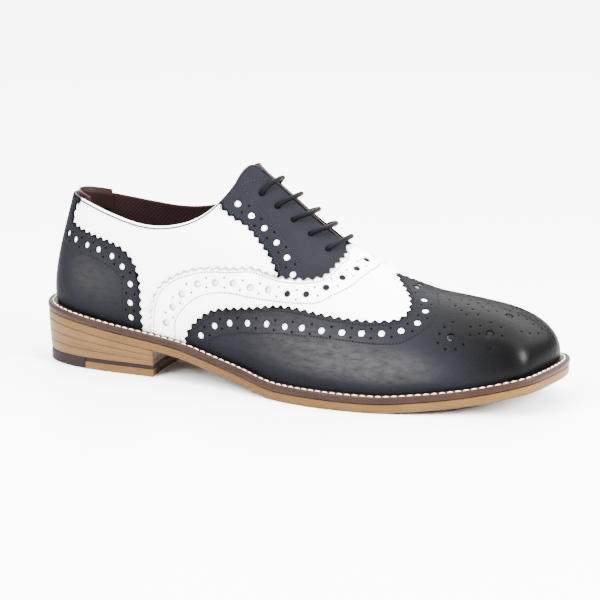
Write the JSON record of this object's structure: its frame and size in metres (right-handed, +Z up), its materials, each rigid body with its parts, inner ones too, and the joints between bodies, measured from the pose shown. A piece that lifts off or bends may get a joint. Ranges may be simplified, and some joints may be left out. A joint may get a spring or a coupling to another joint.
{
  "type": "wingtip brogue shoe",
  "caption": "Low lace-up dress shoe with a winged toe cap, facings, counter, welted leather sole and stacked heel, for the right foot.",
  "frame": {"origin": "on the ground, under the middle of the shoe's box", "axes": "+X to the toe, +Y to the inner side of the foot, +Z up"},
  "size_m": [0.2984, 0.1078, 0.1146],
  "materials": {
    "white_leather": "smooth white calf, semi-matt",
    "navy_leather": "smooth navy calf, polished, burnished almost black at toe and heel",
    "lining": "dark maroon-brown lining leather, matt",
    "welt_leather": "dark brown edge stain, waxed",
    "sole_leather": "natural tan sole leather",
    "heel_leather": "natural tan stacked leather",
    "heel_rubber": "dark brown rubber, matt",
    "waxed_cotton": "round waxed cotton cord"
  },
  "bodies": {
    "root": {"upper": "white_leather", "vamp": "white_leather", "wing_cap": "navy_leather", "facing_lateral": "navy_leather", "facing_medial": "navy_leather", "counter": "navy_leather", "tongue": "navy_leather", "heel_tab": "lining", "insole": "lining", "welt": "welt_leather", "outsole": "sole_leather", "heel_lift_1": "heel_leather", "heel_lift_2": "heel_leather", "heel_lift_3": "heel_leather", "heel_rand": "heel_rubber", "heel_tip_leather": "heel_leather", "heel_tip_rubber": "heel_rubber", "lace_bar_1": "waxed_cotton", "lace_bar_2": "waxed_cotton", "lace_bar_3": "waxed_cotton", "lace_bar_4": "waxed_cotton", "lace_bar_5": "waxed_cotton"}
  },
  "joints": []
}
